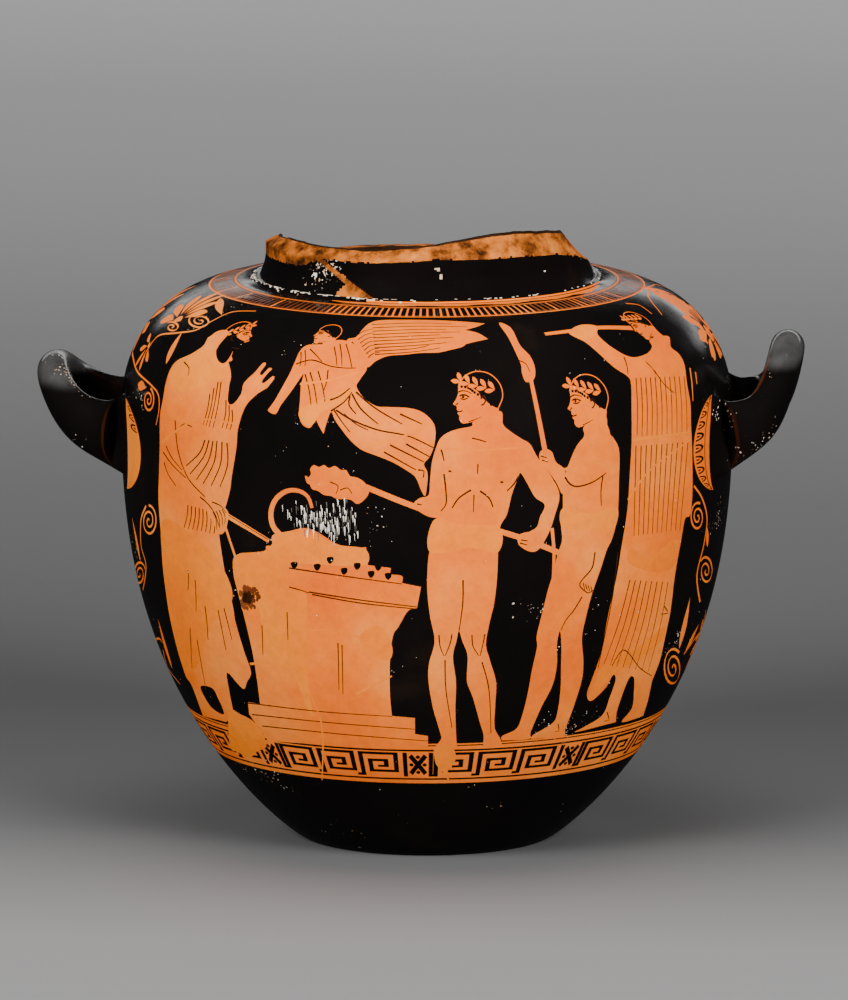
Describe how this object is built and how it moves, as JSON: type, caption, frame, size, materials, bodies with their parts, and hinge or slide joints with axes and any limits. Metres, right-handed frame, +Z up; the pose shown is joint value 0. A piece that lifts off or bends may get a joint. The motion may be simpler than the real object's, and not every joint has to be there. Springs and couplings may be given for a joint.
{
  "type": "greek stamnos",
  "caption": "Broad, high-shouldered wine-mixing pot of painted fired clay, with upturned loop handles at the shoulder, a broken neck and a flat underside.",
  "frame": {"origin": "middle of the flat underside that the pot stands on", "axes": "+Z up along the pot's turning axis; the painted front faces -Y; the loop handles stand out along -X and +X"},
  "size_m": [0.3893, 0.31, 0.3177],
  "materials": {
    "painted_clay": "glossy black slip with orange-red clay left bare for the figures and bands"
  },
  "bodies": {
    "root": {"stamnos": "painted_clay"}
  },
  "joints": []
}
